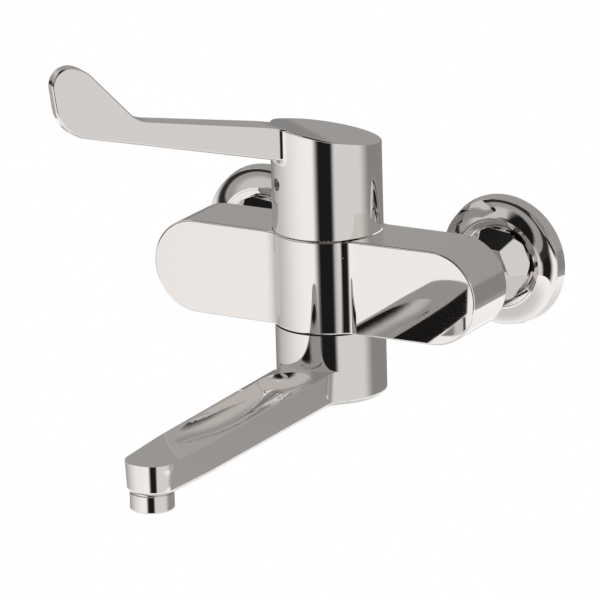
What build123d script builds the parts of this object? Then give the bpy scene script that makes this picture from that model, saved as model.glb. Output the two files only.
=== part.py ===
from build123d import *
import os
from math import cos, radians, sin, tan

# Elbow lever tap for two wall supplies: a single-lever mixer with a swivel spout.
# Millimetres, +Z up. The wall is the plane y = 0 and the room is on the -Y side.
# The origin lies midway between the two wall threads, on the wall.

# Gaps that many pieces share
overrun = 1.0  # how far a cut runs past the face that it opens
thread_gap = 0.06  # between screwed or pressed pieces, each side
running_gap = 0.05  # between a shaft and its bearing, each side
loose_gap = 0.3  # between pieces that only lie side by side

# Wall supplies and the eccentric unions that reach them
supply_centres = 150.0
union_offset = 8.0  # the unions are turned so that the tap hangs lower by this much
half_inch_radius = 10.48  # pipe thread G 1/2, outside
three_quarter_radius = 13.22  # pipe thread G 3/4, outside
wall_thread_length = 18.0
union_bore_radius = 7.0
union_front_bore_radius = 8.0
union_shoulder = 1.3  # how far the eccentric middle stands out round each thread
union_middle_depth = 4.0
union_front = 15.5  # the union's end face, in front of the wall
union_web = 1.5  # metal left beyond each of the two bores in the eccentric middle
thread_chamfer = 0.8

# Rosettes
rosette_radius = 37.1
rosette_front_radius = 35.8
rosette_rim_depth = 6.3
rosette_lip_radius = 25.9
rosette_depth = 10.7
rosette_mouth_radius = 24.4
rosette_well_radius = 21.9
rosette_wall = 1.4
rosette_ridges = 4
rosette_ridge_depth = 0.6
rosette_hollow = 0.9  # how far the front of a rosette curves inwards between rim and lip
rosette_edge_radius = 0.35

# Union nuts: hexagons that taper to the front and are turned round at the wall
nut_radius = 20.8
nut_start = 6.6
nut_front = 23.0
nut_wall_front = 4.3  # metal in front of the nut's thread
nut_hexagon_radius = 25.9
nut_taper = 32.0
nut_corner_turn = 53.0
nut_edge_radius = 0.6

# Sieve washers and inlet nipples
washer_thickness = 1.5
washer_radius = 12.4
sieve_thickness = 0.4
sieve_hole_radius = 0.8
sieve_ring_radii_shares = (0.36, 0.74)
sieve_ring_counts = (6, 12)
collar_radius = 12.6
collar_thickness = 1.6
nipple_radius = 9.9
nipple_bore_radius = 5.8
nipple_depth = 10.0  # how far a nipple is screwed into the body
nipple_shoulder_radius = 12.4
nipple_shoulder_depth = 4.0

# Body casting
axis_from_wall = 65.0
tap_radius = 30.5
body_half_height = 26.5
body_length = 201.0
wing_depth = 37.6
wing_front_radius = 3200.0  # the wings' front is slightly crowned
wing_corner_radius = 12.5  # hollow corner between a wing and the round middle
body_edge_radius = 1.0
gallery_radius = 5.5
gallery_gap = 5.0  # half the metal between the hot and the cold gallery
inlet_port_radius = 3.5
inlet_port_offset = 9.0
outlet_port_radius = 4.0
outlet_port_offset = 9.0
chamber_radius = 13.6
chamber_roof = 3.5  # metal between the galleries and the outlet chamber

# Lever: how it stands in the photograph and how far it goes
lever_rest_angle = 35.0  # from straight ahead towards -X
lever_swing = 40.0  # each side of straight ahead
lever_lift = 20.0
groove_spare = 6.0  # how far the groove runs on past the lifted skirt, in degrees
pivot_rise = 7.0  # the lift axis above the body's top

# Cartridge, from its seat upwards
seat_rise = 3.5  # metal between the galleries and the seat
base_lift = 0.3  # what the seals hold the base off its seat
base_thickness = 4.7
base_radius = 18.4
seal_radius = 5.2
seal_thickness = 1.5
fixed_disc_thickness = 3.0
fixed_disc_radius = 14.5
moving_disc_thickness = 3.0
moving_disc_radius = 10.8
mixing_pocket_radius = 6.6
mixing_pocket_depth = 1.4
carrier_radius = 11.0
carrier_thickness = 5.6
carrier_gap = 0.4  # between the carrier and the stem guide over it
housing_shoulder_height = 10.0
housing_neck_radius = 16.9
housing_lip = 2.9
guide_flange_thickness = 4.0
guide_neck_radius = 11.5
guide_neck_rise = 6.0  # the guide's top above the lift axis
neck_radius = 21.5  # the body's own neck round the cartridge
neck_rise = 1.5
neck_thread_radius = 19.6
nut_ring_bore_radius = 17.1
nut_ring_head = 4.0
sleeve_wall = 1.0
sleeve_bore_radius = 12.4

# Stem, its pin and its ball
stem_width = 8.0
pin_radius = 1.5
ball_radius = 2.5
ball_drop = 9.5  # the ball's centre below the lift axis
shank_radius = 1.7
stem_square_drop = 4.0  # how far the square reaches below the lift axis
socket_gap = 0.3

# Head of the lever, a round cap with a sloping top
cap_gap = 0.3
head_height = 54.6  # the sloping top above the body's top, on the axis
head_slope = 11.3
crest_start = 11.0  # where the top leaves the head's slope, along the lever
crest_reach = 36.0  # the arm's top is highest over the head's slope here
crest_rise = 1.8
crest_bend_radius = 110.0
cap_wall = 3.0
cavity_height = 41.5
cap_foot_radius = 0.4
boss_radius = 9.0
boss_foot = 18.5  # the boss's lower end above the body's top
stem_grip = 17.5  # how much of the stem the boss holds
screw_height = 28.4  # the fixing screw above the body's top
screw_radius = 3.0
screw_length = 8.0
screw_pad_radius = 6.0
screw_hexagon_radius = 1.8
screw_hexagon_depth = 3.0
plug_hole_radius = 3.5
plug_recess = 1.2
plug_thickness = 1.6
plug_dimple_radius = 1.4
plug_dimple_depth = 0.8

# Arm and paddle of the lever
arm_root_half_width = 8.3
arm_tip_half_width = 2.4
arm_root_height = 17.3  # at the head's surface, from the underside to the head's slope
arm_underside_slope = 13.6
arm_join_radius = 5.0
arm_edge_radius = 1.2
arm_inset = 12.0  # how far the arm is carried into the head
lever_reach = 163.9  # to the crossing of the paddle's crown and front lines
paddle_start = 113.6  # where the top edge bends up
paddle_rise = 39.0
paddle_crown_share = (0.571, 0.81)  # along and up, where the rising edge meets the crown
paddle_heel_share = 0.888  # along, where the front edge meets the underside
paddle_bend_radius = 17.0
paddle_crown_radius = 24.0
paddle_tip_radius = 10.2
paddle_heel_radius = 22.0

# Spout: hub and arm
hub_seam = 0.6
hub_height = 39.9
hub_bore_radius = 15.0
hub_foot_radius = 2.6
spout_reach = 194.0  # from the tap's axis to the aerator's
spout_tip = 12.5  # from the aerator's axis to the end of the arm
spout_half_width = 16.1
spout_end_half_width = 13.6
spout_draft = 3.0
spout_join_radius = 10.0
spout_nose_start = 160.0  # where the sides begin to close
spout_bend_radius = 300.0
spout_nose_radius = 12.5
rim_drop = 20.4  # the arm's top edges below the hub's top, at the hub
rim_slope = 0.8
scoop_half_width = 14.2
scoop_depth = 3.7
scoop_start = 30.0
scoop_end = 165.0
scoop_floor_shares = (
    (0.0, -0.43),
    (0.06, 0.32),
    (0.126, 0.92),
    (0.22, 1.01),
    (0.59, 0.95),
    (0.815, 0.7),
    (0.93, 0.27),
    (1.0, 0.0),
    (1.055, -0.25),
)
channel_radius = 4.0
channel_drop = 30.4  # the water channel below the hub's top
outlet_bore_radius = 8.4

# Outlet spindle that carries the spout
spindle_bore_radius = 9.0
spindle_head_radius = 18.6
spindle_head_thickness = 2.4
spindle_head_recess = 0.3
spindle_waist_radius = 12.6
spindle_waist_height = 7.0
spindle_window_radius = 3.0
spindle_windows = 4
spindle_thread_length = 13.0
spindle_floor = 4.2
spindle_hexagon_radius = 6.0
spindle_hexagon_depth = 2.8
ring_section_radius = 0.6
ring_gap = 0.02
ring_groove_play = 0.1
upper_ring_drop = 18.0
lower_ring_rise = 1.25
slide_ring_radius = 26.0
slide_ring_width = 5.0
slide_ring_thickness = 1.6
slide_washer_thickness = 0.8

# Aerator
nozzle_radius = 10.9
nozzle_length = 6.4
aerator_radius = 11.85
aerator_drop = 9.4  # how far the aerator stands out under the arm
aerator_lip_radius = 9.0
aerator_lip_thickness = 0.9
aerator_edge_radius = 0.6
aerator_washer_thickness = 1.0
insert_radius = 10.2
insert_body_radius = 8.0
insert_body_height = 5.0
insert_wall = 0.9
insert_hole_radius = 0.7
insert_pitch = 2.2
insert_rings = 3

# Places worked out from these sizes
inlet_x = supply_centres / 2
tap_level = -union_offset
axis_y = -axis_from_wall
base_align = (Align.CENTER, Align.CENTER, Align.MIN)
sides = (("left", -1), ("right", 1))


def level(height):
    """Level plane on the tap's axis, at a height above the inlets' centre line."""
    return Plane(origin=(0, axis_y, tap_level + height))


lever_turn = radians(lever_rest_angle)
lever_direction = (-sin(lever_turn), -cos(lever_turn), 0)
lever_side = Plane(
    origin=(0, axis_y, tap_level),
    x_dir=lever_direction,
    z_dir=(-cos(lever_turn), sin(lever_turn), 0),
)


def lever_level(height):
    """The same plane, turned so that its x axis runs along the lever."""
    return Plane(
        origin=(0, axis_y, tap_level + height),
        x_dir=lever_direction,
        z_dir=(0, 0, 1),
    )


def room_plane(side, out):
    """Upright plane on an inlet's axis, facing the room, at a distance from the wall."""
    return Plane(
        origin=(side * inlet_x, -out, tap_level),
        x_dir=(1, 0, 0),
        z_dir=(0, -1, 0),
    )


def ring_edges(piece, places):
    """Edges that run round an inlet at these radii and distances from the wall."""
    circles = piece.edges().filter_by(GeomType.CIRCLE)
    return circles.filter_by(
        lambda edge: any(
            abs(edge.radius - radius) < thread_gap and abs(edge.center().Y + out) < thread_gap
            for radius, out in places
        )
    )


def finish(piece, name):
    """Names a piece and writes its file."""
    piece.part.label = name
    export_step(piece.part, f"parts/{name}.step")


os.makedirs("parts", exist_ok=True)

# Heights above the inlets' centre line
body_top = body_half_height
body_bottom = -body_half_height
seat = gallery_radius + seat_rise
pivot = body_top + pivot_rise
rear_face_out = axis_from_wall - wing_depth / 2

# Eccentric unions: a G 1/2 thread for the wall and a G 3/4 thread for the nut
for name, side in sides:
    wall_plane = Plane(origin=(side * inlet_x, 0, 0), x_dir=(1, 0, 0), z_dir=(0, 1, 0))
    with BuildPart() as eccentric_union:
        with Locations(wall_plane):
            Cylinder(half_inch_radius, wall_thread_length, align=base_align)
        with BuildSketch(room_plane(side, 0)):
            Circle(three_quarter_radius + union_shoulder)
            with Locations((0, union_offset)):
                Circle(half_inch_radius + union_shoulder)
            make_hull()
        extrude(amount=union_middle_depth)
        with Locations(room_plane(side, union_middle_depth)):
            Cylinder(three_quarter_radius, union_front - union_middle_depth, align=base_align)
        ends = eccentric_union.faces().filter_by(Axis.Y).sort_by(Axis.Y)
        chamfer([ends[0].edges(), ends[-1].edges()], thread_chamfer)
        with Locations(wall_plane.offset(union_web - union_middle_depth)):
            Cylinder(
                union_bore_radius,
                wall_thread_length + union_middle_depth,
                align=base_align,
                mode=Mode.SUBTRACT,
            )
        with Locations(room_plane(side, union_web)):
            Cylinder(
                union_front_bore_radius,
                union_front,
                align=base_align,
                mode=Mode.SUBTRACT,
            )
    finish(eccentric_union, f"eccentric_union_{name}")

# Rosettes: a dished shell whose floor is screwed on the union's G 3/4 thread
rosette_floor_back = union_middle_depth + loose_gap
rosette_floor_front = rosette_floor_back + rosette_wall
ridge_step = (rosette_mouth_radius - rosette_well_radius) / rosette_ridges
for name, side in sides:
    inlet_axis = Axis((side * inlet_x, 0, tap_level), (0, 1, 0))
    with BuildPart() as rosette:
        with BuildSketch(Plane(origin=(side * inlet_x, 0, tap_level))):
            with BuildLine():
                rim = Line((rosette_radius, 0), (rosette_front_radius, -rosette_rim_depth))
                front = SagittaArc(
                    rim @ 1, (rosette_lip_radius, -rosette_depth), -rosette_hollow
                )
                lip = Line(front @ 1, (rosette_mouth_radius, -rosette_depth))
                corner = lip @ 1
                for ridge in range(rosette_ridges):
                    inward = Line(corner, corner + Vector(0, rosette_ridge_depth))
                    shelf = Line(inward @ 1, inward @ 1 - Vector(ridge_step, 0))
                    corner = shelf @ 1
                well = Line(corner, (rosette_well_radius, -rosette_floor_front))
                floor = Line(
                    well @ 1, (three_quarter_radius + thread_gap, -rosette_floor_front)
                )
                hole = Line(
                    floor @ 1, (three_quarter_radius + thread_gap, -rosette_floor_back)
                )
                back = Line(
                    hole @ 1, (rosette_well_radius + rosette_wall, -rosette_floor_back)
                )
                behind_lip = Line(
                    back @ 1,
                    (rosette_lip_radius, -(rosette_depth - 2 * rosette_wall)),
                )
                behind_front = Line(
                    behind_lip @ 1,
                    (
                        rosette_front_radius - rosette_wall,
                        -(rosette_rim_depth - rosette_wall),
                    ),
                )
                behind_rim = Line(behind_front @ 1, (rosette_radius - rosette_wall, 0))
                Line(behind_rim @ 1, rim @ 0)
            make_face()
        revolve(axis=inlet_axis)
        fillet(
            ring_edges(
                rosette,
                (
                    (rosette_front_radius, rosette_rim_depth),
                    (rosette_lip_radius, rosette_depth),
                    (rosette_mouth_radius, rosette_depth),
                ),
            ),
            rosette_edge_radius,
        )
    finish(rosette, f"rosette_{name}")

# Union nuts
nut_bore_end = nut_front - nut_wall_front
for name, side in sides:
    with BuildPart() as union_nut:
        with BuildSketch(room_plane(side, nut_start)):
            RegularPolygon(nut_hexagon_radius, 6, rotation=nut_corner_turn)
        extrude(amount=nut_front - nut_start, taper=nut_taper)
        fillet(
            union_nut.edges()
            .filter_by(lambda edge: edge.bounding_box().size.Y > overrun)
            .sort_by(Axis.Y),
            nut_edge_radius,
        )
        fillet(
            union_nut.faces().filter_by(Axis.Y).sort_by(Axis.Y)[0].edges(),
            nut_edge_radius,
        )
        with Locations(room_plane(side, nut_start)):
            Cylinder(
                nut_radius,
                nut_front - nut_start,
                align=base_align,
                mode=Mode.INTERSECT,
            )
        with Locations(room_plane(side, nut_start - overrun)):
            Cylinder(
                three_quarter_radius + thread_gap,
                nut_bore_end - nut_start + overrun,
                align=base_align,
                mode=Mode.SUBTRACT,
            )
            Cylinder(
                nipple_radius + loose_gap,
                nut_front - nut_start + 2 * overrun,
                align=base_align,
                mode=Mode.SUBTRACT,
            )
    finish(union_nut, f"union_nut_{name}")

# Sieve washers between unions and nipples
for name, side in sides:
    with BuildPart() as sieve_washer:
        with BuildSketch(room_plane(side, union_front)):
            Circle(washer_radius)
            Circle(union_front_bore_radius, mode=Mode.SUBTRACT)
        extrude(amount=washer_thickness)
        with BuildSketch(room_plane(side, union_front)):
            Circle(union_front_bore_radius)
            Circle(sieve_hole_radius, mode=Mode.SUBTRACT)
            for share, count in zip(sieve_ring_radii_shares, sieve_ring_counts):
                with PolarLocations(share * union_front_bore_radius, count):
                    Circle(sieve_hole_radius, mode=Mode.SUBTRACT)
        extrude(amount=sieve_thickness)
    finish(sieve_washer, f"sieve_washer_{name}")

# Inlet nipples, screwed into the back of the body
nipple_start = union_front + washer_thickness
for name, side in sides:
    with BuildPart() as inlet_nipple:
        with Locations(room_plane(side, nipple_start)):
            Cylinder(collar_radius, collar_thickness, align=base_align)
            Cylinder(
                nipple_radius,
                rear_face_out + nipple_depth - nipple_start,
                align=base_align,
            )
        with Locations(room_plane(side, rear_face_out - nipple_shoulder_depth)):
            Cylinder(nipple_shoulder_radius, nipple_shoulder_depth, align=base_align)
        chamfer(
            inlet_nipple.faces().filter_by(Axis.Y).sort_by(Axis.Y)[0].edges(),
            thread_chamfer,
        )
        with Locations(room_plane(side, nipple_start - overrun)):
            Cylinder(
                nipple_bore_radius,
                rear_face_out + nipple_depth,
                align=base_align,
                mode=Mode.SUBTRACT,
            )
    finish(inlet_nipple, f"inlet_nipple_{name}")

# Body casting: flat wings with round ends and a round middle, drilled for the water
groove_radius = tap_radius + cap_gap
lift_turn = radians(lever_lift)
skirt_foot_drop = pivot_rise - cap_gap
skirt_dip = tap_radius * sin(lift_turn) + skirt_foot_drop * cos(lift_turn) - pivot_rise
groove_depth = skirt_dip + 2 * loose_gap
groove_front_half_angle = radians(90 - lever_swing - groove_spare)
groove_front_reach = 2 * tap_radius
wing_crown = wing_front_radius - (wing_front_radius**2 - (body_length / 2) ** 2) ** 0.5
with BuildPart() as body_casting:
    with BuildSketch(level(body_bottom)) as body_plan:
        with Locations((0, wing_depth / 2)):
            Rectangle(
                body_length,
                wing_depth + wing_crown,
                align=(Align.CENTER, Align.MAX),
            )
        with Locations((0, wing_front_radius - wing_depth / 2 - wing_crown)):
            Circle(wing_front_radius, mode=Mode.INTERSECT)
        Circle(tap_radius)
        fillet(
            body_plan.vertices().filter_by(
                lambda vertex: abs(vertex.X) < (body_length + wing_depth) / 4
            ),
            wing_corner_radius,
        )
    extrude(amount=2 * body_half_height)
    front_plane = Plane(
        origin=(0, axis_y - tap_radius - overrun, tap_level),
        x_dir=(1, 0, 0),
        z_dir=(0, 1, 0),
    )
    with BuildSketch(front_plane):
        SlotOverall(body_length, 2 * body_half_height)
    extrude(amount=2 * (tap_radius + overrun), mode=Mode.INTERSECT)
    fillet(
        body_casting.edges()
        .filter_by(Axis.Z, reverse=True)
        .filter_by(Axis.Y, reverse=True),
        body_edge_radius,
    )
    # neck round the cartridge
    with Locations(level(body_top - overrun)):
        Cylinder(neck_radius, neck_rise + overrun, align=base_align)
    # groove that the cap's skirt dips into when the lever is lifted
    with BuildSketch(level(body_top - groove_depth)):
        Circle(groove_radius)
        Circle(neck_radius, mode=Mode.SUBTRACT)
        Polygon(
            (0, 0),
            (
                -groove_front_reach * sin(groove_front_half_angle),
                -groove_front_reach * cos(groove_front_half_angle),
            ),
            (
                groove_front_reach * sin(groove_front_half_angle),
                -groove_front_reach * cos(groove_front_half_angle),
            ),
            align=None,
            mode=Mode.SUBTRACT,
        )
    extrude(amount=groove_depth + overrun, mode=Mode.SUBTRACT)
    # well for the cartridge, with a thread at its mouth
    with Locations(level(seat)):
        Cylinder(
            base_radius + thread_gap,
            body_top + neck_rise + overrun - seat,
            align=base_align,
            mode=Mode.SUBTRACT,
        )
    with Locations(level(seat + base_lift + base_thickness + housing_shoulder_height)):
        Cylinder(
            neck_thread_radius + thread_gap,
            body_top,
            align=base_align,
            mode=Mode.SUBTRACT,
        )
    # inlets: nipple thread, bore, gallery and port on each side
    for name, side in sides:
        with Locations(room_plane(side, rear_face_out - overrun)):
            Cylinder(
                nipple_radius + thread_gap,
                nipple_depth + thread_gap + overrun,
                align=base_align,
                mode=Mode.SUBTRACT,
            )
            Cylinder(
                nipple_bore_radius,
                wing_depth / 2 + overrun,
                align=base_align,
                mode=Mode.SUBTRACT,
            )
        gallery_plane = Plane(
            origin=(side * gallery_gap, axis_y, tap_level),
            x_dir=(0, 1, 0),
            z_dir=(side, 0, 0),
        )
        with Locations(gallery_plane):
            Cylinder(
                gallery_radius,
                inlet_x - gallery_gap,
                align=base_align,
                mode=Mode.SUBTRACT,
            )
        with Locations(level(0)):
            with Locations((side * inlet_port_offset, 0)):
                Cylinder(
                    inlet_port_radius,
                    seat + overrun,
                    align=base_align,
                    mode=Mode.SUBTRACT,
                )
    # outlet: port from the cartridge down to the chamber over the spindle
    with Locations(level(body_bottom - overrun)):
        with Locations((0, outlet_port_offset)):
            Cylinder(
                outlet_port_radius,
                seat - body_bottom + 2 * overrun,
                align=base_align,
                mode=Mode.SUBTRACT,
            )
        Cylinder(
            chamber_radius,
            body_half_height - gallery_radius - chamber_roof + overrun,
            align=base_align,
            mode=Mode.SUBTRACT,
        )
finish(body_casting, "body_casting")

# Cartridge base and the seals under it
port_places = (
    (-inlet_port_offset, 0, inlet_port_radius),
    (inlet_port_offset, 0, inlet_port_radius),
    (0, outlet_port_offset, outlet_port_radius),
)
base_foot = seat + base_lift
base_top = base_foot + base_thickness
seal_width = seal_radius - outlet_port_radius
with BuildPart() as cartridge_base:
    with Locations(level(base_foot)):
        Cylinder(base_radius, base_thickness, align=base_align)
    for x, y, radius in port_places:
        with Locations(level(base_foot - overrun)):
            with Locations((x, y)):
                Cylinder(
                    radius,
                    base_thickness + 2 * overrun,
                    align=base_align,
                    mode=Mode.SUBTRACT,
                )
                Cylinder(
                    radius + seal_width + thread_gap,
                    seal_thickness - base_lift + overrun,
                    align=base_align,
                    mode=Mode.SUBTRACT,
                )
finish(cartridge_base, "cartridge_base")

with BuildPart() as base_seals:
    for x, y, radius in port_places:
        with BuildSketch(level(seat)):
            with Locations((x, y)):
                Circle(radius + seal_width)
                Circle(radius, mode=Mode.SUBTRACT)
        extrude(amount=seal_thickness)
finish(base_seals, "base_seals")

# Ceramic discs
with BuildPart() as fixed_disc:
    with BuildSketch(level(base_top)):
        Circle(fixed_disc_radius)
        for x, y, radius in port_places:
            with Locations((x, y)):
                Circle(radius, mode=Mode.SUBTRACT)
    extrude(amount=fixed_disc_thickness)
finish(fixed_disc, "fixed_disc")

moving_foot = base_top + fixed_disc_thickness + running_gap
carrier_foot = moving_foot + moving_disc_thickness
carrier_top = carrier_foot + carrier_thickness
with BuildPart() as moving_disc:
    with Locations(lever_level(moving_foot)):
        Cylinder(moving_disc_radius, moving_disc_thickness, align=base_align)
    with Locations(lever_level(moving_foot - overrun)):
        Cylinder(
            mixing_pocket_radius,
            mixing_pocket_depth + overrun,
            align=base_align,
            mode=Mode.SUBTRACT,
        )
finish(moving_disc, "moving_disc")

# Carrier that the stem's ball pushes to and fro
with BuildPart() as disc_carrier:
    with Locations(lever_level(carrier_foot)):
        Cylinder(carrier_radius, carrier_thickness, align=base_align)
    with Locations(lever_level(pivot - ball_drop - ball_radius - socket_gap)):
        Cylinder(
            ball_radius + socket_gap,
            carrier_thickness,
            align=base_align,
            mode=Mode.SUBTRACT,
        )
finish(disc_carrier, "disc_carrier")

# Stem guide: turns with the lever inside the housing and carries the pin
guide_foot = carrier_top + carrier_gap
guide_flange_top = guide_foot + guide_flange_thickness
guide_top = pivot + guide_neck_rise
slot_rear = guide_neck_rise * sin(lift_turn) + stem_width / 2 / cos(lift_turn) + loose_gap
slot_front = (pivot - guide_foot) * sin(lift_turn) + stem_width / 2
with BuildPart() as stem_guide:
    with Locations(lever_level(guide_foot)):
        Cylinder(fixed_disc_radius, guide_flange_thickness, align=base_align)
        Cylinder(guide_neck_radius, guide_top - guide_foot, align=base_align)
    with BuildSketch(lever_level(guide_foot - overrun)):
        with Locations(((slot_front - slot_rear) / 2, 0)):
            Rectangle(slot_front + slot_rear, stem_width + 2 * loose_gap)
    extrude(amount=guide_top - guide_foot + 2 * overrun, mode=Mode.SUBTRACT)
    with BuildSketch(lever_side):
        with Locations((0, pivot)):
            Circle(pin_radius + thread_gap / 2)
    extrude(amount=guide_neck_radius, both=True, mode=Mode.SUBTRACT)
finish(stem_guide, "stem_guide")

with BuildPart() as pivot_pin:
    with BuildSketch(lever_side):
        with Locations((0, pivot)):
            Circle(pin_radius)
    extrude(amount=guide_neck_radius - loose_gap, both=True)
finish(pivot_pin, "pivot_pin")

# Lever stem: a square that the lever grips, a shank and a ball
stem_top = body_top + boss_foot + stem_grip
stem_square_foot = pivot - stem_square_drop
with BuildPart() as lever_stem:
    with BuildSketch(lever_level(stem_square_foot)):
        Rectangle(stem_width, stem_width)
    extrude(amount=stem_top - stem_square_foot)
    chamfer(lever_stem.faces().sort_by(Axis.Z)[-1].edges(), thread_chamfer)
    with Locations(lever_level(pivot - ball_drop)):
        Sphere(ball_radius)
        Cylinder(shank_radius, ball_drop - stem_square_drop + overrun, align=base_align)
    with BuildSketch(lever_side):
        with Locations((0, pivot)):
            Circle(pin_radius + running_gap)
    extrude(amount=stem_width, both=True, mode=Mode.SUBTRACT)
finish(lever_stem, "lever_stem")

# Cartridge housing
housing_lip_foot = guide_flange_top + thread_gap
housing_top = housing_lip_foot + housing_lip
with BuildPart() as cartridge_housing:
    with Locations(level(base_top)):
        Cylinder(base_radius, housing_shoulder_height, align=base_align)
        Cylinder(housing_neck_radius, housing_top - base_top, align=base_align)
    with Locations(level(base_top - overrun)):
        Cylinder(
            fixed_disc_radius + running_gap,
            housing_lip_foot - base_top + overrun,
            align=base_align,
            mode=Mode.SUBTRACT,
        )
        Cylinder(
            guide_neck_radius + running_gap,
            housing_top - base_top + 2 * overrun,
            align=base_align,
            mode=Mode.SUBTRACT,
        )
finish(cartridge_housing, "cartridge_housing")

# Nut that holds the cartridge down, and the sleeve over it
ring_foot = base_top + housing_shoulder_height + thread_gap
neck_top = body_top + neck_rise
with BuildPart() as retaining_nut:
    with Locations(level(ring_foot)):
        Cylinder(neck_thread_radius, neck_top - ring_foot + overrun, align=base_align)
    with BuildSketch(level(neck_top)):
        RegularPolygon(neck_radius - loose_gap, 6)
    extrude(amount=nut_ring_head)
    with Locations(level(ring_foot - overrun)):
        Cylinder(
            nut_ring_bore_radius,
            neck_top + nut_ring_head - ring_foot + 2 * overrun,
            align=base_align,
            mode=Mode.SUBTRACT,
        )
finish(retaining_nut, "retaining_nut")

sleeve_top = max(housing_top, neck_top + nut_ring_head) + thread_gap
with BuildPart() as cover_sleeve:
    with Locations(level(body_top + thread_gap)):
        Cylinder(
            neck_radius + thread_gap + sleeve_wall,
            sleeve_top + sleeve_wall - body_top - thread_gap,
            align=base_align,
        )
    fillet(
        cover_sleeve.faces().sort_by(Axis.Z)[-1].edges(),
        sleeve_wall * 2 / 3,
    )
    with Locations(level(body_top)):
        Cylinder(
            neck_radius + thread_gap,
            sleeve_top - body_top,
            align=base_align,
            mode=Mode.SUBTRACT,
        )
        Cylinder(
            sleeve_bore_radius,
            sleeve_top + sleeve_wall + overrun - body_top,
            align=base_align,
            mode=Mode.SUBTRACT,
        )
finish(cover_sleeve, "cover_sleeve")

# Lever: the side outline of arm and paddle, in distance from the axis and height
cap_foot = body_top + cap_gap
head_top = body_top + head_height
slope_rise = tan(radians(head_slope))
underside_rise = tan(radians(arm_underside_slope))


def top_height(reach):
    """Height of the sloping top at a distance from the axis along the lever."""
    return head_top + slope_rise * reach


def underside_height(reach):
    """Height of the arm's underside at a distance from the axis."""
    at_head = top_height(tap_radius) - arm_root_height
    return at_head + underside_rise * (reach - tap_radius)


arm_start = tap_radius - arm_inset
arm_plan_end = lever_reach + 2 * arm_inset
arm_plan_points = (
    (arm_start, -arm_root_half_width),
    (arm_plan_end, -arm_tip_half_width),
    (arm_plan_end, arm_tip_half_width),
    (arm_start, arm_root_half_width),
)
form_height = lever_reach
form_top = cap_foot + form_height
paddle_length = lever_reach - paddle_start
crest_foot = (crest_start, top_height(crest_start))
crest_corner = (crest_reach, top_height(crest_reach) + crest_rise)
bend_corner = (paddle_start, top_height(paddle_start))
crown_corner = (
    paddle_start + paddle_crown_share[0] * paddle_length,
    bend_corner[1] + paddle_crown_share[1] * paddle_rise,
)
tip_corner = (lever_reach, bend_corner[1] + paddle_rise)
heel_reach = paddle_start + paddle_heel_share * paddle_length
heel_corner = (heel_reach, underside_height(heel_reach))
front_lean = (tip_corner[0] - heel_corner[0]) / (tip_corner[1] - heel_corner[1])
front_foot = (tip_corner[0] - front_lean * (tip_corner[1] - cap_foot), cap_foot)
front_head = (tip_corner[0] + front_lean * (form_top - tip_corner[1]), form_top)


def along_lever(point):
    """A point as distance along the lever, distance across it and height."""
    return lever_level(0).to_local_coords(Vector(*point))


def side_outline(points, corners):
    """Closed outline in the lever's side plane, with the named corners rounded."""
    with BuildSketch(lever_side.offset(-2 * tap_radius)) as outline:
        Polygon(*points, align=None)
        for (reach, height), radius in corners:
            spot = Vector(reach, height)
            fillet(outline.vertices().sort_by_distance(spot)[0], radius)
    return outline.sketch


def runs_lengthwise(edge):
    """Whether an edge lies on one side of the lever, off its middle plane."""
    first, last = along_lever(edge @ 0), along_lever(edge @ 1)
    return first.Y * last.Y > 0 or edge.length > form_height - overrun


# Upper form: head and arm seen from above, cut along the upper outline and rounded
with BuildPart() as upper_form:
    with BuildSketch(lever_level(cap_foot)) as upper_plan:
        Circle(tap_radius)
        Polygon(*arm_plan_points, align=None)
        fillet(
            upper_plan.vertices().filter_by(
                lambda vertex: arm_start < vertex.X < paddle_start
            ),
            arm_join_radius,
        )
    extrude(amount=form_height)
    add(
        side_outline(
            (
                (-2 * tap_radius, cap_foot),
                (-2 * tap_radius, top_height(-2 * tap_radius)),
                crest_foot,
                crest_corner,
                bend_corner,
                crown_corner,
                tip_corner,
                front_foot,
            ),
            (
                (crest_foot, crest_bend_radius),
                (crest_corner, crest_bend_radius),
                (bend_corner, paddle_bend_radius),
                (crown_corner, paddle_crown_radius),
                (tip_corner, paddle_tip_radius),
            ),
        )
    )
    extrude(amount=4 * tap_radius, dir=lever_side.z_dir, mode=Mode.INTERSECT)
    fillet(
        upper_form.edges().filter_by(
            lambda edge: runs_lengthwise(edge)
            and min((edge @ 0).Z, (edge @ 1).Z) > tap_level + cap_foot + overrun
            and abs(along_lever(edge @ 0).X - along_lever(edge @ 1).X) > thread_gap
            or edge.length > 5 * tap_radius
            and (edge @ 0).Z > tap_level + body_top + head_height / 2
            or min(along_lever(edge @ 0).X, along_lever(edge @ 1).X) > paddle_start
            and runs_lengthwise(edge)
        ),
        arm_edge_radius,
    )

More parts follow.
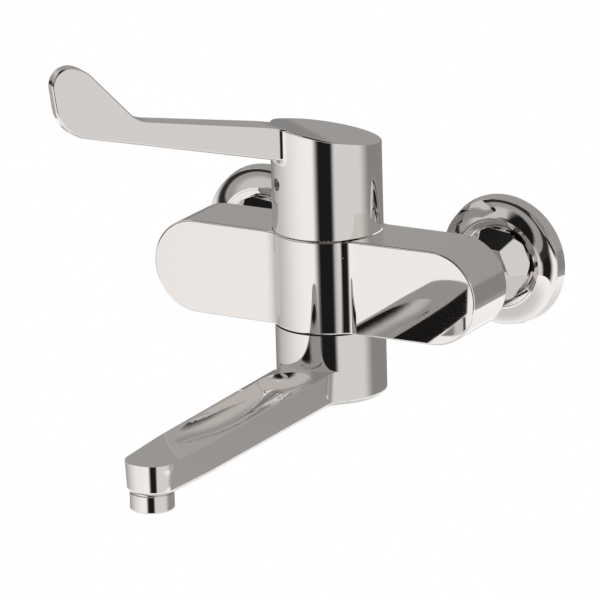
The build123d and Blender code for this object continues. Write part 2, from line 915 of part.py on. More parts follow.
# Lower form: everything above the arm's underside, rounded there and at the join
with BuildPart() as tongue_form:
    add(
        side_outline(
            (
                (arm_start, form_top),
                front_head,
                heel_corner,
                (arm_start, underside_height(arm_start)),
            ),
            ((heel_corner, paddle_heel_radius),),
        )
    )
    extrude(amount=4 * tap_radius, dir=lever_side.z_dir)
    with BuildSketch(lever_level(cap_foot)):
        Polygon(*arm_plan_points, align=None)
    extrude(amount=form_height, mode=Mode.INTERSECT)
    fillet(
        tongue_form.edges().filter_by(
            lambda edge: along_lever(edge @ 0).Y * along_lever(edge @ 1).Y > 0
            and max(along_lever(edge @ 0).X, along_lever(edge @ 1).X) > arm_start + overrun
            and min((edge @ 0).Z, (edge @ 1).Z) < tap_level + form_top - overrun
        ),
        arm_edge_radius,
    )
with BuildPart() as lower_form:
    with BuildSketch(lever_level(cap_foot)):
        Circle(tap_radius)
        with Locations((-tap_radius, 0)):
            Rectangle(2 * tap_radius, 4 * tap_radius)
    extrude(amount=form_height)
    add(tongue_form.part)
    fillet(
        lower_form.edges().filter_by(
            lambda edge: all(
                abs(along_lever(point).X ** 2 + along_lever(point).Y ** 2 - tap_radius**2)
                < thread_gap
                for point in (edge @ 0, edge @ 0.5, edge @ 1)
            )
            and abs(along_lever(edge @ 0).Y) < arm_root_half_width + overrun
            and abs(along_lever(edge @ 1).Y) < arm_root_half_width + overrun
            and along_lever(edge @ 1).X > arm_start
            and max((edge @ 0).Z, (edge @ 1).Z) > tap_level + cap_foot + overrun
            and min((edge @ 0).Z, (edge @ 1).Z) < tap_level + form_top - overrun
        ),
        arm_join_radius,
    )

screw_plane = Plane(
    origin=(0, axis_y, tap_level + body_top + screw_height),
    x_dir=(0, 0, 1),
    z_dir=lever_direction,
)
with BuildPart() as lever_handle:
    add(upper_form.part)
    add(lower_form.part, mode=Mode.INTERSECT)
    # hollow inside, boss with a square socket, and a pad for the fixing screw
    with BuildSketch(lever_level(cap_foot - overrun)):
        Circle(tap_radius - cap_wall)
    extrude(amount=cavity_height - cap_gap + overrun, mode=Mode.SUBTRACT)
    with Locations(lever_level(body_top + boss_foot)):
        Cylinder(boss_radius, cavity_height - boss_foot + overrun, align=base_align)
    with Locations(screw_plane):
        Cylinder(screw_pad_radius, tap_radius - cap_wall / 2, align=base_align)
    with BuildSketch(lever_level(body_top + boss_foot - screw_pad_radius)):
        Rectangle(stem_width + 2 * thread_gap, stem_width + 2 * thread_gap)
    extrude(amount=stem_grip + thread_gap + screw_pad_radius, mode=Mode.SUBTRACT)
    with Locations(screw_plane):
        Cylinder(
            screw_radius + thread_gap,
            tap_radius,
            align=base_align,
            mode=Mode.SUBTRACT,
        )
    with Locations(screw_plane.offset(tap_radius - 2 * cap_wall)):
        Cylinder(
            plug_hole_radius,
            2 * cap_wall + overrun,
            align=base_align,
            mode=Mode.SUBTRACT,
        )
    fillet(
        lever_handle.edges()
        .filter_by(GeomType.CIRCLE)
        .filter_by(
            lambda edge: edge.radius > tap_radius - thread_gap
            and edge.center().Z < tap_level + cap_foot + thread_gap
        ),
        cap_foot_radius,
    )
finish(lever_handle, "lever_handle")

# Fixing screw and the plug that hides it
with BuildPart() as fixing_screw:
    with Locations(screw_plane.offset(stem_width / 2 + thread_gap)):
        Cylinder(screw_radius, screw_length, align=base_align)
    with BuildSketch(screw_plane.offset(stem_width / 2 + thread_gap + screw_length)):
        RegularPolygon(screw_hexagon_radius, 6)
    extrude(amount=-screw_hexagon_depth, mode=Mode.SUBTRACT)
finish(fixing_screw, "fixing_screw")

plug_front = tap_radius - plug_recess
with BuildPart() as index_plug:
    with Locations(screw_plane.offset(plug_front - plug_thickness)):
        Cylinder(plug_hole_radius - thread_gap, plug_thickness, align=base_align)
    with Locations(screw_plane.offset(plug_front)):
        Cylinder(
            plug_dimple_radius,
            2 * plug_dimple_depth,
            mode=Mode.SUBTRACT,
        )
finish(index_plug, "index_plug")

# Spout casting
hub_top = body_bottom - hub_seam
hub_foot = hub_top - hub_height
rim = hub_top - rim_drop
rim_fall = tan(radians(rim_slope))
spout_end = spout_reach + spout_tip
recess_depth = spindle_head_recess + spindle_head_thickness + slide_washer_thickness
down_plane = Plane(
    origin=(0, axis_y, tap_level + rim),
    x_dir=(1, 0, 0),
    z_dir=(0, 0, -1),
).offset(-rim_fall * tap_radius)
spout_side = Plane(
    origin=(0, axis_y, tap_level),
    x_dir=(0, -1, 0),
    z_dir=(-1, 0, 0),
)


def rim_height(reach):
    """Height of the arm's top edges at a distance from the tap's axis."""
    return rim - rim_fall * (reach - tap_radius)


with BuildPart() as spout_arm:
    with BuildSketch(down_plane) as arm_plan:
        Polygon(
            (-spout_half_width, 0),
            (-spout_half_width, spout_nose_start),
            (-spout_end_half_width, spout_end),
            (spout_end_half_width, spout_end),
            (spout_half_width, spout_nose_start),
            (spout_half_width, 0),
            align=None,
        )
        fillet(
            arm_plan.vertices().filter_by(
                lambda vertex: abs(vertex.Y - spout_nose_start) < overrun
            ),
            spout_bend_radius,
        )
        fillet(
            arm_plan.vertices().filter_by(
                lambda vertex: abs(vertex.Y - spout_end) < overrun
            ),
            spout_nose_radius,
        )
    extrude(amount=rim + rim_fall * tap_radius - hub_foot, taper=spout_draft)
    with BuildSketch(spout_side.offset(-tap_radius)):
        Polygon(
            (-overrun, hub_foot - overrun),
            (spout_end + overrun, hub_foot - overrun),
            (spout_end + overrun, rim_height(spout_end + overrun)),
            (-overrun, rim_height(-overrun)),
            align=None,
        )
    extrude(amount=2 * tap_radius, mode=Mode.INTERSECT)

# Scoop in the arm's top: a round trough whose floor rises towards both ends
trough_radius = (scoop_half_width**2 + scoop_depth**2) / (2 * scoop_depth)
trough_height = scoop_depth + overrun
trough_half_width = (2 * trough_radius * trough_height - trough_height**2) ** 0.5
floor_points = []
for along, deep in scoop_floor_shares:
    reach = scoop_start + along * (scoop_end - scoop_start)
    floor_height = tap_level + rim_height(reach) - deep * scoop_depth
    floor_points.append((0, axis_y - reach, floor_height))
with BuildPart() as spout_scoop:
    with BuildLine() as floor_line:
        floor_curve = Spline(*floor_points)
    scoop_section = Plane(
        origin=floor_curve @ 0,
        x_dir=(1, 0, 0),
        z_dir=floor_curve % 0,
    )
    with BuildSketch(scoop_section):
        with BuildLine():
            trough_line = SagittaArc(
                (-trough_half_width, trough_height),
                (trough_half_width, trough_height),
                -trough_height,
            )
            Line(trough_line @ 1, trough_line @ 0)
        make_face()
    sweep(path=floor_line.wires()[0])

channel = hub_top - channel_drop
outlet_plane = Plane(origin=(0, axis_y - spout_reach, tap_level + hub_foot))
with BuildPart() as spout_casting:
    add(spout_arm.part)
    add(spout_scoop.part, mode=Mode.SUBTRACT)
    with Locations(level(hub_foot)):
        Cylinder(tap_radius, hub_height, align=base_align)
    fillet(
        spout_casting.edges().filter_by(
            lambda edge: edge.bounding_box().size.Z > spout_half_width
            and abs((edge @ 0.5).X) < tap_radius - overrun
            and (edge @ 0.5).Y > axis_y - tap_radius - overrun
        ),
        spout_join_radius,
    )
    fillet(
        spout_casting.faces().sort_by(Axis.Z)[0].edges(),
        hub_foot_radius,
    )
    # bore for the spindle, with a recess for its head and a groove for the slide ring
    with Locations(level(hub_foot - overrun)):
        Cylinder(
            spindle_head_radius + loose_gap,
            recess_depth + overrun,
            align=base_align,
            mode=Mode.SUBTRACT,
        )
        Cylinder(
            hub_bore_radius,
            hub_height + 2 * overrun,
            align=base_align,
            mode=Mode.SUBTRACT,
        )
    with BuildSketch(level(hub_top + hub_seam - slide_ring_thickness)):
        Circle(slide_ring_radius + thread_gap)
        Circle(slide_ring_radius - slide_ring_width - thread_gap, mode=Mode.SUBTRACT)
    extrude(amount=slide_ring_thickness, mode=Mode.SUBTRACT)
    # water channel along the arm, outlet and nozzle
    with Locations(outlet_plane.offset(-nozzle_length)):
        Cylinder(nozzle_radius, nozzle_length + 2 * hub_foot_radius, align=base_align)
    with Locations(Plane(origin=(0, axis_y, tap_level + channel), z_dir=(0, -1, 0))):
        Cylinder(channel_radius, spout_reach, align=base_align, mode=Mode.SUBTRACT)
    with Locations(outlet_plane.offset(-nozzle_length - overrun)):
        Cylinder(
            outlet_bore_radius,
            nozzle_length + overrun + channel + channel_radius - hub_foot,
            align=base_align,
            mode=Mode.SUBTRACT,
        )
finish(spout_casting, "spout_casting")

# Slide ring in the seam over the hub
with BuildPart() as slide_ring:
    with BuildSketch(level(body_bottom - slide_ring_thickness)):
        Circle(slide_ring_radius)
        Circle(slide_ring_radius - slide_ring_width, mode=Mode.SUBTRACT)
    extrude(amount=slide_ring_thickness)
finish(slide_ring, "slide_ring")

# Outlet spindle: a hollow screw with a head under the hub
head_foot = hub_foot + spindle_head_recess
head_top_height = head_foot + spindle_head_thickness
recess_floor = hub_foot + recess_depth
journal_radius = hub_bore_radius - running_gap
ring_centre_radius = hub_bore_radius - ring_gap - ring_section_radius
ring_heights = (("upper", hub_top - upper_ring_drop), ("lower", recess_floor + lower_ring_rise))
with BuildPart() as outlet_spindle:
    with Locations(level(head_foot)):
        Cylinder(spindle_head_radius, spindle_head_thickness, align=base_align)
        Cylinder(journal_radius, body_bottom - head_foot, align=base_align)
    with Locations(level(body_bottom - overrun)):
        Cylinder(
            chamber_radius - thread_gap,
            spindle_thread_length + overrun,
            align=base_align,
        )
    with BuildSketch(level(channel - spindle_waist_height / 2)):
        Circle(journal_radius + overrun)
        Circle(spindle_waist_radius, mode=Mode.SUBTRACT)
    extrude(amount=spindle_waist_height, mode=Mode.SUBTRACT)
    for name, height in ring_heights:
        with BuildSketch(level(height - ring_section_radius - ring_groove_play)):
            Circle(journal_radius + overrun)
            Circle(
                ring_centre_radius - ring_section_radius - thread_gap,
                mode=Mode.SUBTRACT,
            )
        extrude(amount=2 * (ring_section_radius + ring_groove_play), mode=Mode.SUBTRACT)
    with Locations(level(head_foot + spindle_floor)):
        Cylinder(
            spindle_bore_radius,
            body_bottom + spindle_thread_length - head_foot,
            align=base_align,
            mode=Mode.SUBTRACT,
        )
    for turn in range(spindle_windows):
        window_plane = Plane(
            origin=(0, axis_y, tap_level + channel),
            z_dir=(
                sin(radians(360 / spindle_windows * turn)),
                -cos(radians(360 / spindle_windows * turn)),
                0,
            ),
        )
        with Locations(window_plane):
            Cylinder(
                spindle_window_radius,
                journal_radius + overrun,
                align=base_align,
                mode=Mode.SUBTRACT,
            )
    with BuildSketch(level(head_foot - overrun)):
        RegularPolygon(spindle_hexagon_radius, 6)
    extrude(amount=spindle_hexagon_depth + overrun, mode=Mode.SUBTRACT)
finish(outlet_spindle, "outlet_spindle")

for name, height in ring_heights:
    with BuildPart() as spindle_ring:
        with Locations(level(height)):
            Torus(ring_centre_radius, ring_section_radius)
    finish(spindle_ring, f"spindle_ring_{name}")

with BuildPart() as slide_washer:
    with BuildSketch(level(head_top_height)):
        Circle(spindle_head_radius)
        Circle(hub_bore_radius, mode=Mode.SUBTRACT)
    extrude(amount=slide_washer_thickness)
finish(slide_washer, "slide_washer")

# Aerator: housing screwed over the nozzle, washer and perforated insert
nozzle_foot = hub_foot - nozzle_length
housing_foot = hub_foot - aerator_drop


def outlet_level(height):
    """Level plane on the aerator's axis, at a height above the inlets' centre line."""
    return Plane(origin=(0, axis_y - spout_reach, tap_level + height))


with BuildPart() as aerator_housing:
    with Locations(outlet_level(housing_foot)):
        Cylinder(aerator_radius, aerator_drop - loose_gap, align=base_align)
    fillet(aerator_housing.faces().sort_by(Axis.Z)[0].edges(), aerator_edge_radius)
    with Locations(outlet_level(housing_foot + aerator_lip_thickness)):
        Cylinder(
            nozzle_radius + thread_gap,
            aerator_drop,
            align=base_align,
            mode=Mode.SUBTRACT,
        )
    with Locations(outlet_level(housing_foot - overrun)):
        Cylinder(aerator_lip_radius, aerator_drop, align=base_align, mode=Mode.SUBTRACT)
finish(aerator_housing, "aerator_housing")

with BuildPart() as aerator_washer:
    with BuildSketch(outlet_level(nozzle_foot - aerator_washer_thickness)):
        Circle(insert_radius)
        Circle(outlet_bore_radius, mode=Mode.SUBTRACT)
    extrude(amount=aerator_washer_thickness)
finish(aerator_washer, "aerator_washer")

insert_foot = housing_foot + aerator_lip_thickness
insert_flange = nozzle_foot - aerator_washer_thickness - insert_foot
with BuildPart() as aerator_insert:
    with Locations(outlet_level(insert_foot)):
        Cylinder(insert_radius, insert_flange, align=base_align)
        Cylinder(insert_body_radius, insert_flange + insert_body_height, align=base_align)
    with Locations(outlet_level(insert_foot + insert_wall)):
        Cylinder(
            insert_body_radius - insert_wall,
            insert_flange + insert_body_height,
            align=base_align,
            mode=Mode.SUBTRACT,
        )
    with BuildSketch(outlet_level(insert_foot - overrun)):
        Circle(insert_hole_radius)
        for ring in range(1, insert_rings + 1):
            with PolarLocations(ring * insert_pitch, 6 * ring):
                Circle(insert_hole_radius)
    extrude(amount=insert_wall + 2 * overrun, mode=Mode.SUBTRACT)
finish(aerator_insert, "aerator_insert")
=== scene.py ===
"""Looks for the elbow lever tap: materials, thread relief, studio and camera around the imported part."""

import math

import bpy
from mathutils import Matrix, Vector


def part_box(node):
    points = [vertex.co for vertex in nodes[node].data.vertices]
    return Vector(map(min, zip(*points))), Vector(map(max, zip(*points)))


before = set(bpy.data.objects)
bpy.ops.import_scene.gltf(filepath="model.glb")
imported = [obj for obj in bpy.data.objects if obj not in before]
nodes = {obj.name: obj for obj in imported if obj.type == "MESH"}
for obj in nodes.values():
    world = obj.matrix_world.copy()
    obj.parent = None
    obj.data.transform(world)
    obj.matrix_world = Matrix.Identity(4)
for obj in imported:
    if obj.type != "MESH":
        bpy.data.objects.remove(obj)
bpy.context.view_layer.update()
scene = bpy.context.scene

# The photograph's camera: where it stands, what it aims at, and its lens.
CAMERA_AZIMUTH = 30.094
CAMERA_ELEVATION = 16.774
CAMERA_ROLL = -1.559
CAMERA_DISTANCE = 3.5574
CAMERA_AIM = Vector((-0.01424, -0.07336, -0.02294))
CAMERA_LENS = 388.02
SENSOR_WIDTH = 36.0
CLIP_RANGE = (0.05, 60.0)

# The studio: a round closed wall, seen only in reflections, and a pale floor well below the tap.
STUDIO_RADIUS = 7.0
STUDIO_BOTTOM = -4.5
STUDIO_TOP = 7.0
STUDIO_STEPS = 96
FLOOR_LEVEL = -1.2
FLOOR_RADIUS = 2.6
FLOOR_COLOUR = (0.8, 0.795, 0.79, 1.0)
FLOOR_STEPS = 128
FLOOR_MOTTLE = 0.98
FLOOR_MOTTLE_SCALE = 3.0
FLOOR_FADE = (0.5, 2.2)
WHITE = (1.0, 1.0, 1.0, 1.0)
STUDIO_TINT = (1.0, 0.985, 0.97, 1.0)
WORLD_LEVEL = 0.8
LAMP_SIZE = (1.6, 1.0)
LAMP_POWER = 5.0
LAMP_COLOUR = (1.0, 0.98, 0.95)
LAMP_PLACE = Vector((-1.2, -1.6, 1.9))

# Wall thread of the unions, in metres: the supply axes lie SUPPLY_REACH to either side of the middle.
SUPPLY_REACH = 0.075
THREAD_PITCH = 0.001814
THREAD_DEPTH = 0.00085
THREAD_CORE = 0.0098
THREAD_START = 0.0006
HALF_PITCH = 0.5

# What the materials share: the fine bump in metres, the noise values between which the roughness varies,
# how much finer the grain is than the clouds of colour, and the roughness of a clear coat.
FINE_BUMP = 0.00001
GRAIN_SPAN = (0.3, 0.7)
GRAIN_SHARE = 6.0
GRAIN_DETAIL = 4.0
COAT_ROUGHNESS = 0.08

# Directions in the studio, in degrees: azimuth 0 is straight in front of the tap, +90 on its right.
LEFT_PANEL = (-112.0, 3.0)
LEFT_SOFT = (20.0, 6.0)
LEFT_RISE = (-125.0, -12.0)
LEFT_LEVELS = (0.45, 1.0)
RIGHT_PANEL = (42.0, 112.0)
RIGHT_SOFT = (5.0, 16.0)
RIGHT_LEVEL = 0.73
GAP_SPAN = (9.0, 39.0)
GAP_SOFT = (4.0, 4.0)
GAP_LEVEL = 0.012
BACK_RISE = (-23.0, -17.0)
BACK_LEVELS = (0.36, 0.26)
PANEL_TOP = (-10.0, -3.0)
LINE_SPAN = (-126.0, 44.0)
LINE_SOFT = (4.0, 4.0)
LINE_TOP = (2.0, 6.0)
LINE_LEVEL = 0.03
WALL_LEVEL = 0.36
TALL_SPAN = (46.0, 112.0)
TALL_SOFT = (5.0, 16.0)
TALL_HEIGHT = (-10.0, 26.0)
CANOPY_SPAN = (-118.0, -16.0)
CANOPY_HEIGHT = (20.0, 54.0)
CANOPY_SOFT = (8.0, 4.0)
CANOPY_LEVEL = 0.62
TOP_SPAN = (-118.0, 62.0)
TOP_HEIGHT = (54.0, 76.0)
SLOT_SPAN = (-14.0, 56.0)
SLOT_HEIGHT = (20.0, 76.0)
DARK_SOFT = (8.0, 8.0)
HIGH_SOFT = (4.0, 4.0)


class Graph:
    """A node tree with short calls for the nodes that the materials use."""

    def __init__(self, tree):
        self.tree = tree
        tree.nodes.clear()

    def add(self, kind, **settings):
        node = self.tree.nodes.new(kind)
        for key, value in settings.items():
            setattr(node, key, value)
        return node

    def link(self, source, target):
        self.tree.links.new(source, target)

    def feed(self, socket, value):
        if isinstance(value, bpy.types.NodeSocket):
            self.link(value, socket)
        else:
            socket.default_value = value

    def math(self, operation, *values):
        node = self.add("ShaderNodeMath", operation=operation)
        for socket, value in zip(node.inputs, values):
            self.feed(socket, value)
        return node.outputs[0]

    def length(self, first, second):
        """Length of the vector with these two components."""
        squares = self.math("ADD", self.math("POWER", first, 2.0), self.math("POWER", second, 2.0))
        return self.math("SQRT", squares)

    def ramp(self, value, low, high, start=0.0, end=1.0):
        """A smooth step from start to end while the value goes from low to high."""
        node = self.add("ShaderNodeMapRange", interpolation_type="SMOOTHSTEP")
        names = ("Value", "From Min", "From Max", "To Min", "To Max")
        for name, given in zip(names, (value, low, high, start, end)):
            self.feed(node.inputs[name], given)
        return node.outputs[0]

    def window(self, value, span, soft):
        """One inside the span and zero outside, with a soft edge at each end."""
        rise = self.ramp(value, span[0] - soft[0], span[0] + soft[0])
        fall = self.ramp(value, span[1] - soft[1], span[1] + soft[1], 1.0, 0.0)
        return self.math("MULTIPLY", rise, fall)

    def blend(self, share, first, second):
        """The first number where share is 0 and the second where it is 1."""
        node = self.add("ShaderNodeMix", data_type="FLOAT")
        self.feed(node.inputs[0], share)
        self.feed(node.inputs[2], first)
        self.feed(node.inputs[3], second)
        return node.outputs[0]

    def colours(self, share, first, second):
        """The first colour where share is 0 and the second where it is 1."""
        node = self.add("ShaderNodeMix", data_type="RGBA")
        self.feed(node.inputs[0], share)
        self.feed(node.inputs[6], first)
        self.feed(node.inputs[7], second)
        return node.outputs[2]

    def noise(self, vector, scale, detail=3.0, roughness=0.5):
        node = self.add("ShaderNodeTexNoise")
        self.feed(node.inputs["Vector"], vector)
        self.feed(node.inputs["Scale"], scale)
        self.feed(node.inputs["Detail"], detail)
        self.feed(node.inputs["Roughness"], roughness)
        return node.outputs[0]


def angles(graph, x, y, z):
    """Azimuth and elevation, in degrees, of a direction from the tap."""
    degrees = math.degrees(1.0)
    across = graph.math("ARCTAN2", x, graph.math("MULTIPLY", y, -1.0))
    above = graph.math("ARCTAN2", z, graph.length(x, y))
    return graph.math("MULTIPLY", across, degrees), graph.math("MULTIPLY", above, degrees)


def studio_material():
    """Soft light panels on the left and right with a dark gap between them, a dark line and a grey wall above
    them, a light canopy over the left, and dark zones high up in front."""
    material = bpy.data.materials.new("studio_light")
    material.use_nodes = True
    graph = Graph(material.node_tree)
    place = graph.add("ShaderNodeSeparateXYZ")
    graph.link(graph.add("ShaderNodeTexCoord").outputs["Object"], place.inputs[0])
    azimuth, elevation = angles(graph, *place.outputs)
    left = graph.window(azimuth, LEFT_PANEL, LEFT_SOFT)
    right = graph.window(azimuth, RIGHT_PANEL, RIGHT_SOFT)
    gap = graph.window(azimuth, GAP_SPAN, GAP_SOFT)
    level = graph.ramp(elevation, *BACK_RISE, *BACK_LEVELS)
    level = graph.blend(left, level, graph.ramp(azimuth, *LEFT_RISE, *LEFT_LEVELS))
    level = graph.blend(right, level, RIGHT_LEVEL)
    level = graph.blend(gap, level, GAP_LEVEL)
    upper = graph.blend(graph.window(azimuth, LINE_SPAN, LINE_SOFT), level, LINE_LEVEL)
    upper = graph.blend(graph.ramp(elevation, *LINE_TOP), upper, WALL_LEVEL)
    level = graph.blend(graph.ramp(elevation, *PANEL_TOP), level, upper)
    for span, height, soft, high_soft, strength in (
        (TALL_SPAN, TALL_HEIGHT, TALL_SOFT, HIGH_SOFT, RIGHT_LEVEL),
        (CANOPY_SPAN, CANOPY_HEIGHT, DARK_SOFT, CANOPY_SOFT, CANOPY_LEVEL),
        (TOP_SPAN, TOP_HEIGHT, DARK_SOFT, HIGH_SOFT, GAP_LEVEL),
        (SLOT_SPAN, SLOT_HEIGHT, DARK_SOFT, HIGH_SOFT, GAP_LEVEL),
    ):
        zone = graph.math(
            "MULTIPLY", graph.window(azimuth, span, soft), graph.window(elevation, height, high_soft)
        )
        level = graph.blend(zone, level, strength)
    glow = graph.add("ShaderNodeEmission")
    glow.inputs["Color"].default_value = STUDIO_TINT
    graph.link(level, glow.inputs["Strength"])
    out = graph.add("ShaderNodeOutputMaterial")
    graph.link(glow.outputs[0], out.inputs[0])
    material.cycles.emission_sampling = "NONE"
    return material


def build_studio():
    """The round studio wall with its top and bottom, as one closed shell round the tap."""
    verts, faces = [], []
    for step in range(STUDIO_STEPS):
        turn = math.tau * step / STUDIO_STEPS
        for height in (STUDIO_BOTTOM, STUDIO_TOP):
            verts.append((STUDIO_RADIUS * math.cos(turn), STUDIO_RADIUS * math.sin(turn), height))
    verts.append((0.0, 0.0, STUDIO_TOP))
    verts.append((0.0, 0.0, STUDIO_BOTTOM))
    top, bottom = len(verts) - 2, len(verts) - 1
    for step in range(STUDIO_STEPS):
        low, high = 2 * step, 2 * step + 1
        next_low, next_high = (low + 2) % (2 * STUDIO_STEPS), (high + 2) % (2 * STUDIO_STEPS)
        faces.append((low, high, next_high, next_low))
        faces.append((high, top, next_high))
        faces.append((low, next_low, bottom))
    mesh = bpy.data.meshes.new("studio")
    mesh.from_pydata(verts, [], faces)
    mesh.materials.append(studio_material())
    studio = bpy.data.objects.new("studio", mesh)
    scene.collection.objects.link(studio)
    studio.visible_camera = False
    studio.visible_diffuse = False
    studio.visible_shadow = False
    return studio


def background_rays(graph):
    """One for the rays that see the background: camera, glossy and transmission rays."""
    path = graph.add("ShaderNodeLightPath")
    seen = graph.math("MAXIMUM", path.outputs["Is Camera Ray"], path.outputs["Is Glossy Ray"])
    return graph.math("MAXIMUM", seen, path.outputs["Is Transmission Ray"])


def build_floor():
    """The plain pale floor, which fades into the white background at its edge."""
    material = bpy.data.materials.new("pale_floor")
    material.use_nodes = True
    graph = Graph(material.node_tree)
    where = graph.add("ShaderNodeTexCoord").outputs["Object"]
    mottle = graph.noise(where, FLOOR_MOTTLE_SCALE)
    matt = graph.add("ShaderNodeBsdfDiffuse")
    tint = tuple(FLOOR_MOTTLE * part for part in FLOOR_COLOUR[:3]) + (1.0,)
    graph.link(graph.colours(mottle, FLOOR_COLOUR, tint), matt.inputs["Color"])
    place = graph.add("ShaderNodeSeparateXYZ")
    graph.link(where, place.inputs[0])
    reach = graph.length(place.outputs[0], place.outputs[1])
    bright = graph.add("ShaderNodeEmission")
    bright.inputs["Color"].default_value = WHITE
    fade = graph.add("ShaderNodeMixShader")
    graph.link(graph.ramp(reach, *FLOOR_FADE), fade.inputs[0])
    graph.link(matt.outputs[0], fade.inputs[1])
    graph.link(bright.outputs[0], fade.inputs[2])
    out = graph.add("ShaderNodeOutputMaterial")
    graph.link(fade.outputs[0], out.inputs[0])
    material.cycles.emission_sampling = "NONE"
    bpy.ops.mesh.primitive_circle_add(
        vertices=FLOOR_STEPS, radius=FLOOR_RADIUS, fill_type="NGON", location=(0.0, 0.0, FLOOR_LEVEL)
    )
    floor = bpy.context.object
    floor.name = "floor"
    floor.data.materials.append(material)
    return floor


def build_world():
    """A white background for the rays that see it, and even soft light for the rest."""
    world = bpy.data.worlds.new("world")
    world.use_nodes = True
    graph = Graph(world.node_tree)
    sky = graph.add("ShaderNodeBackground")
    sky.inputs["Color"].default_value = WHITE
    graph.link(graph.blend(background_rays(graph), WORLD_LEVEL, 1.0), sky.inputs["Strength"])
    out = graph.add("ShaderNodeOutputWorld")
    graph.link(sky.outputs[0], out.inputs[0])
    scene.world = world


def build_lamp():
    """One large soft lamp above the front left of the tap, for the matt pieces."""
    lamp = bpy.data.lights.new("soft_lamp", "AREA")
    lamp.shape = "RECTANGLE"
    lamp.size, lamp.size_y = LAMP_SIZE
    lamp.energy = LAMP_POWER
    lamp.color = LAMP_COLOUR
    piece = bpy.data.objects.new("soft_lamp", lamp)
    scene.collection.objects.link(piece)
    piece.location = LAMP_PLACE
    piece.rotation_euler = (-LAMP_PLACE).to_track_quat("-Z", "Y").to_euler()
    piece.visible_glossy = False


def build_camera():
    """The camera of the photograph."""
    camera = bpy.data.cameras.new("camera")
    camera.lens = CAMERA_LENS
    camera.sensor_width = SENSOR_WIDTH
    camera.dof.use_dof = False
    camera.clip_start, camera.clip_end = CLIP_RANGE
    turn, tilt = math.radians(CAMERA_AZIMUTH), math.radians(CAMERA_ELEVATION)
    back = Vector(
        (math.sin(turn) * math.cos(tilt), -math.cos(turn) * math.cos(tilt), math.sin(tilt))
    )
    piece = bpy.data.objects.new("camera", camera)
    scene.collection.objects.link(piece)
    roll = Matrix.Rotation(math.radians(CAMERA_ROLL), 4, "Z")
    aimed = (-back).to_track_quat("-Z", "Y").to_matrix().to_4x4()
    piece.matrix_world = Matrix.Translation(CAMERA_AIM + back * CAMERA_DISTANCE) @ aimed @ roll
    scene.camera = piece


def pipe_thread(middle):
    """Relief of the wall thread of the union whose axis is at this x: a fine ridge that winds round it."""

    def relief(graph, where):
        place = graph.add("ShaderNodeSeparateXYZ")
        graph.link(where, place.inputs[0])
        x, y, z = place.outputs
        aside = graph.math("SUBTRACT", x, middle)
        turn = graph.math("DIVIDE", graph.math("ARCTAN2", z, aside), math.tau)
        along = graph.math("ADD", graph.math("DIVIDE", y, THREAD_PITCH), turn)
        wave = graph.math("PINGPONG", along, HALF_PITCH)
        ridge = graph.math("MULTIPLY", wave, THREAD_DEPTH / HALF_PITCH)
        outside = graph.math("GREATER_THAN", graph.length(aside, z), THREAD_CORE)
        on_thread = graph.math("GREATER_THAN", y, THREAD_START)
        return graph.math("MULTIPLY", ridge, graph.math("MULTIPLY", outside, on_thread))

    return relief


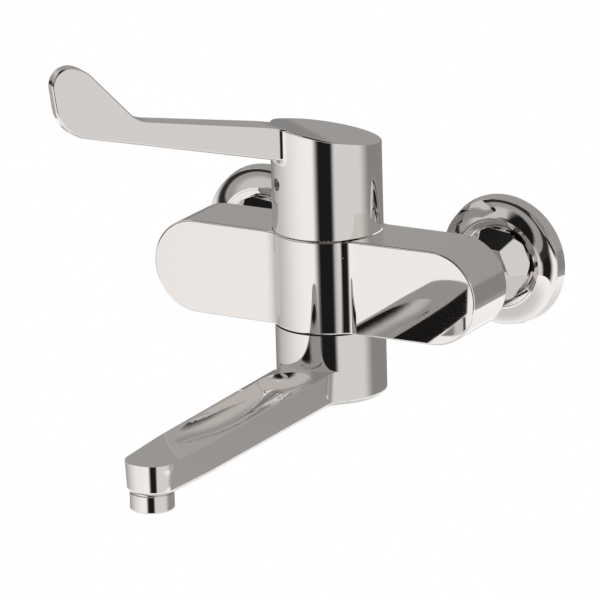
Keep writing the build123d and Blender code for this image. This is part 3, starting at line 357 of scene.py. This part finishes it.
def surface(name, first, second, metallic, rough, scale, bump=0.0, coat=0.0, thread=None):
    """A procedural material: two near colours and a roughness that vary with noise, and a fine bump."""
    material = bpy.data.materials.new(name)
    material.use_nodes = True
    graph = Graph(material.node_tree)
    where = graph.add("ShaderNodeTexCoord").outputs["Object"]
    cloud = graph.noise(where, scale)
    grain = graph.noise(where, scale * GRAIN_SHARE, GRAIN_DETAIL)
    shader = graph.add("ShaderNodeBsdfPrincipled")
    graph.link(graph.colours(cloud, first + (1.0,), second + (1.0,)), shader.inputs["Base Color"])
    shader.inputs["Metallic"].default_value = metallic
    graph.link(graph.ramp(grain, *GRAIN_SPAN, *rough), shader.inputs["Roughness"])
    shader.inputs["Coat Weight"].default_value = coat
    shader.inputs["Coat Roughness"].default_value = COAT_ROUGHNESS
    height = graph.math("MULTIPLY", grain, bump)
    if thread:
        height = graph.math("ADD", height, thread(graph, where))
    if bump or thread:
        relief = graph.add("ShaderNodeBump")
        relief.inputs["Distance"].default_value = 1.0
        relief.inputs["Strength"].default_value = 1.0
        graph.link(height, relief.inputs["Height"])
        graph.link(relief.outputs[0], shader.inputs["Normal"])
    out = graph.add("ShaderNodeOutputMaterial")
    graph.link(shader.outputs[0], out.inputs[0])
    return material


BRASS = ((0.70, 0.53, 0.27), (0.76, 0.60, 0.34), 1.0, (0.22, 0.34), 160.0, FINE_BUMP)

MATERIALS = {
    "chrome": surface(
        "polished_chrome", (0.855, 0.826, 0.808), (0.87, 0.843, 0.826), 1.0, (0.02, 0.035), 9.0
    ),
    "brass": surface("turned_brass", *BRASS),
    "steel": surface(
        "bright_steel", (0.56, 0.56, 0.57), (0.63, 0.63, 0.64), 1.0, (0.2, 0.32), 200.0, FINE_BUMP
    ),
    "cartridge_plastic": surface(
        "cartridge_plastic", (0.80, 0.80, 0.78), (0.84, 0.84, 0.82), 0.0, (0.42, 0.55), 120.0, FINE_BUMP
    ),
    "ceramic": surface("ceramic", (0.87, 0.86, 0.83), (0.9, 0.89, 0.86), 0.0, (0.12, 0.2), 90.0, 0.0, 0.4),
    "seal": surface(
        "seal_rubber", (0.04, 0.04, 0.04), (0.06, 0.06, 0.06), 0.0, (0.55, 0.7), 180.0, FINE_BUMP
    ),
    "slide_plastic": surface(
        "slide_plastic", (0.19, 0.19, 0.19), (0.22, 0.22, 0.22), 0.0, (0.4, 0.52), 140.0, FINE_BUMP
    ),
    "plug_plastic": surface("plug_plastic", (0.11, 0.11, 0.12), (0.14, 0.14, 0.15), 0.0, (0.16, 0.24), 90.0),
    "aerator_plastic": surface(
        "aerator_plastic", (0.53, 0.54, 0.55), (0.57, 0.58, 0.59), 0.0, (0.34, 0.46), 160.0, FINE_BUMP
    ),
}

for name, node in nodes.items():
    slots = node.data.materials
    for place, old in enumerate(slots):
        slots[place] = MATERIALS[old.name.split(".")[0]]
    if name.startswith("eccentric_union"):
        low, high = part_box(name)
        middle = math.copysign(SUPPLY_REACH, low.x + high.x)
        slots[0] = surface(f"threaded_brass_{name}", *BRASS, thread=pipe_thread(middle))

build_studio()
build_floor()
build_world()
build_lamp()
build_camera()
scene.view_settings.view_transform = "Standard"
